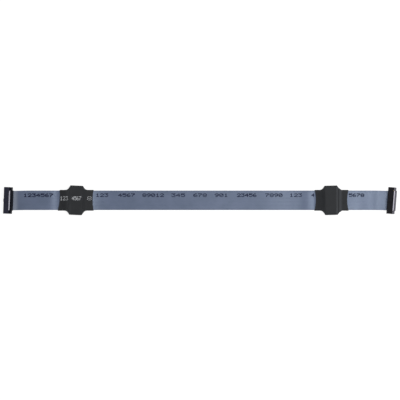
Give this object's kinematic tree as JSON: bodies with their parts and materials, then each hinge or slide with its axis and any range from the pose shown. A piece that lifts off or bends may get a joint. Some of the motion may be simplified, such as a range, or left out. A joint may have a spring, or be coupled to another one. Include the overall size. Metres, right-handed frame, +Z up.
{
  "type": "ribbon cable",
  "caption": "Flat grey ribbon cable with a keyed two-row socket pressed onto each end and a flat ferrite core under a black shrunk sleeve near each socket.",
  "frame": {"origin": "on the surface the cable lies on, under the middle of its length and width", "axes": "+X along the ribbon, towards the socket whose mating face points back at the ribbon; +Z up from the surface"},
  "size_m": [0.2823, 0.0214, 0.0065],
  "materials": {
    "ribbon_pvc": "soft satin grey-blue PVC",
    "copper_strand": "tinned copper strand",
    "socket_plastic": "satin black glass-filled polyester",
    "contact_metal": "plated spring bronze",
    "ferrite": "matt dark grey ferrite",
    "sleeve_plastic": "matt black shrunk polyolefin"
  },
  "bodies": {
    "root": {"ribbon_insulation": "ribbon_pvc", "conductor_01": "copper_strand", "conductor_02": "copper_strand", "conductor_03": "copper_strand", "conductor_04": "copper_strand", "conductor_05": "copper_strand", "conductor_06": "copper_strand", "conductor_07": "copper_strand", "conductor_08": "copper_strand", "conductor_09": "copper_strand", "conductor_10": "copper_strand", "conductor_11": "copper_strand", "conductor_12": "copper_strand", "conductor_13": "copper_strand", "conductor_14": "copper_strand", "left_socket_body": "socket_plastic", "left_socket_cover": "socket_plastic", "left_contact_01": "contact_metal", "left_contact_02": "contact_metal", "left_contact_03": "contact_metal", "left_contact_04": "contact_metal", "left_contact_05": "contact_metal", "left_contact_06": "contact_metal", "left_contact_07": "contact_metal", "left_contact_08": "contact_metal", "left_contact_09": "contact_metal", "left_contact_10": "contact_metal", "left_contact_11": "contact_metal", "left_contact_12": "contact_metal", "left_contact_13": "contact_metal", "left_contact_14": "contact_metal", "left_core": "ferrite", "left_sleeve": "sleeve_plastic", "right_socket_body": "socket_plastic", "right_socket_cover": "socket_plastic", "right_contact_01": "contact_metal", "right_contact_02": "contact_metal", "right_contact_03": "contact_metal", "right_contact_04": "contact_metal", "right_contact_05": "contact_metal", "right_contact_06": "contact_metal", "right_contact_07": "contact_metal", "right_contact_08": "contact_metal", "right_contact_09": "contact_metal", "right_contact_10": "contact_metal", "right_contact_11": "contact_metal", "right_contact_12": "contact_metal", "right_contact_13": "contact_metal", "right_contact_14": "contact_metal", "right_core": "ferrite", "right_sleeve": "sleeve_plastic"}
  },
  "joints": []
}
